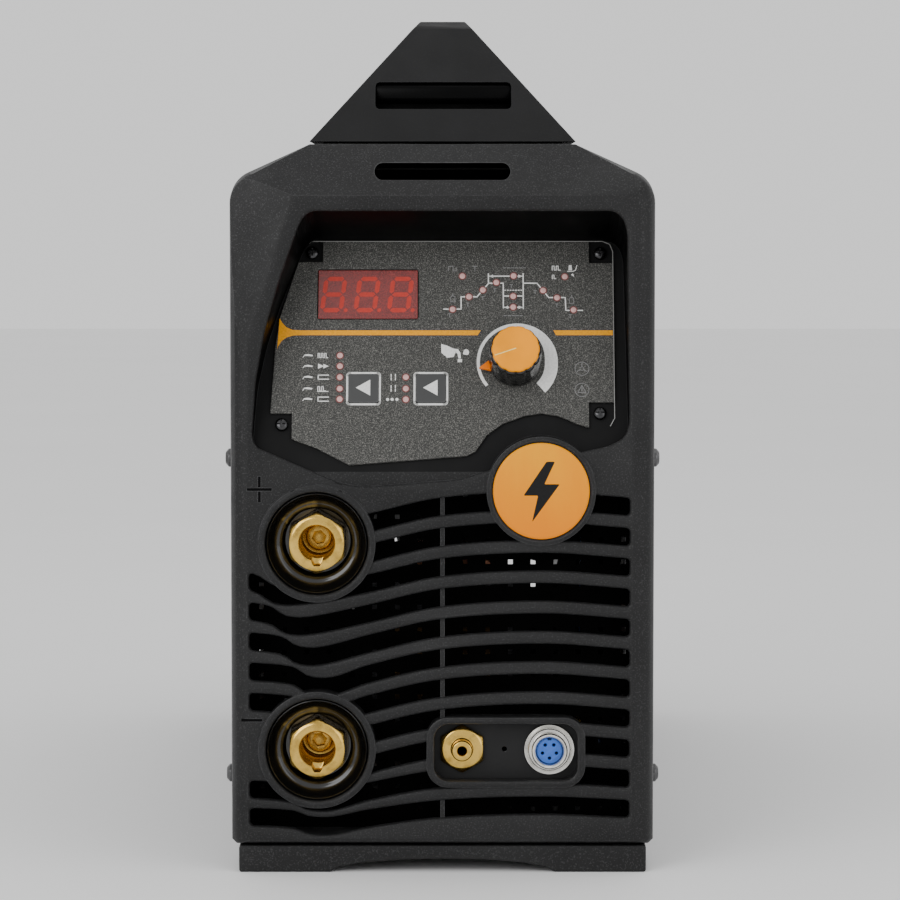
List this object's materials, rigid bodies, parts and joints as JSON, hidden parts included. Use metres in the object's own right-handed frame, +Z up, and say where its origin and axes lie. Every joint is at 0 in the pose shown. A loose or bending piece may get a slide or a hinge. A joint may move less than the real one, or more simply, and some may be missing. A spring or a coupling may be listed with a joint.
{
  "type": "tig welding machine",
  "caption": "Upright portable inverter TIG welder with a leaning control panel, two welding sockets, louvred front and a carry handle on top.",
  "frame": {"origin": "on the ground, under the middle of the machine's bounding box", "axes": "+Z up, -Y out of the front (sockets and panel), +X to the right seen from the front"},
  "size_m": [0.1638, 0.4364, 0.3194],
  "materials": {
    "case_plastic": "near-black satin moulded plastic, fine texture",
    "panel_film": "dark grey printed film",
    "gloss_black": "gloss black moulded plastic",
    "orange_plastic": "orange plastic",
    "display_red": "dull red display window, unlit digits",
    "brass": "turned brass",
    "copper": "copper bar and wire",
    "nickel": "nickel plated",
    "blackened_steel": "black oxide screws",
    "coated_steel": "black powder coat",
    "zinc_steel": "zinc plated steel",
    "insert_blue": "blue connector insert",
    "board_green": "circuit board with solder mask",
    "heatsink_aluminium": "extruded aluminium",
    "ferrite": "ferrite core",
    "winding_tape": "copper winding under yellow tape",
    "capacitor_sleeve": "sleeved aluminium can",
    "hose": "gas hose",
    "fan_plastic": "fan plastic",
    "button_white": "dark key with a white outline"
  },
  "bodies": {
    "case": {"front_bezel": "case_plastic", "rear_bezel": "case_plastic", "case_cover": "coated_steel", "chassis_tray": "coated_steel", "rear_panel": "coated_steel", "front_foot": "case_plastic", "rear_foot": "case_plastic", "carry_handle": "case_plastic", "side_screw_left_upper": "blackened_steel", "side_screw_left_lower": "blackened_steel", "side_screw_right_upper": "blackened_steel", "side_screw_right_lower": "blackened_steel", "panel_overlay": "panel_film", "display_module": "display_red", "control_board": "board_green", "encoder_body": "zinc_steel", "panel_screw_top_left": "blackened_steel", "panel_screw_top_right": "blackened_steel", "panel_screw_bottom_left": "blackened_steel", "panel_screw_bottom_right": "blackened_steel", "badge_disc": "orange_plastic", "socket_plus_insulator": "gloss_black", "socket_plus_contact": "brass", "socket_plus_screw": "brass", "socket_minus_insulator": "gloss_black", "socket_minus_contact": "brass", "socket_minus_screw": "brass", "bus_bar_plus": "copper", "bus_bar_minus": "copper", "connector_plate": "coated_steel", "gas_outlet_fitting": "brass", "torch_socket_shell": "nickel", "torch_socket_insert": "insert_blue", "fan_housing": "fan_plastic", "fan_guard": "zinc_steel", "switch_body": "gloss_black", "cable_gland_body": "case_plastic", "cable_gland_cap": "case_plastic", "gas_inlet_fitting": "brass", "power_board": "board_green", "heatsink_left": "heatsink_aluminium", "heatsink_right": "heatsink_aluminium", "transformer_core": "ferrite", "transformer_winding": "winding_tape", "ignition_coil": "copper", "bus_capacitor": "capacitor_sleeve", "louvre_screen": "coated_steel", "valve_body": "brass", "valve_coil": "gloss_black", "gas_hose_inlet": "hose", "gas_hose_outlet": "hose"},
    "button_left": {"button_left": "button_white"},
    "button_right": {"button_right": "button_white"},
    "encoder_push": {"encoder_plunger": "nickel"},
    "knob": {"encoder_shaft": "nickel", "control_knob": "gloss_black", "knob_cap": "orange_plastic"},
    "fan": {"fan_rotor": "fan_plastic"},
    "rocker": {"switch_rocker": "gloss_black"},
    "valve": {"valve_plunger": "zinc_steel"}
  },
  "joints": [
    {"name": "button_left_press", "type": "slide", "parent": "case", "child": "button_left", "axis": [0, 0.9397, -0.342], "range_m": [0, 0.0005], "stiffness_N_per_m": 800},
    {"name": "button_right_press", "type": "slide", "parent": "case", "child": "button_right", "axis": [0, 0.9397, -0.342], "range_m": [0, 0.0005], "stiffness_N_per_m": 800},
    {"name": "encoder_press", "type": "slide", "parent": "case", "child": "encoder_push", "axis": [0, 0.9397, -0.342], "range_m": [0, 0.0005], "stiffness_N_per_m": 1500},
    {"name": "knob_turn", "type": "hinge", "parent": "encoder_push", "child": "knob", "pos_m": [0.0271, -0.19935, 0.19049], "axis": [0, 0.9397, -0.342], "continuous": true},
    {"name": "fan_spin", "type": "hinge", "parent": "case", "child": "fan", "pos_m": [0, 0.178, 0.092], "axis": [0, 1, 0], "continuous": true},
    {"name": "power_switch", "type": "hinge", "parent": "case", "child": "rocker", "pos_m": [0.04, 0.1983, 0.208], "axis": [1, 0, 0], "range_deg": [0, 14]},
    {"name": "valve_lift", "type": "slide", "parent": "case", "child": "valve", "axis": [0, 0, 1], "range_m": [0, 0.002], "stiffness_N_per_m": 400}
  ]
}
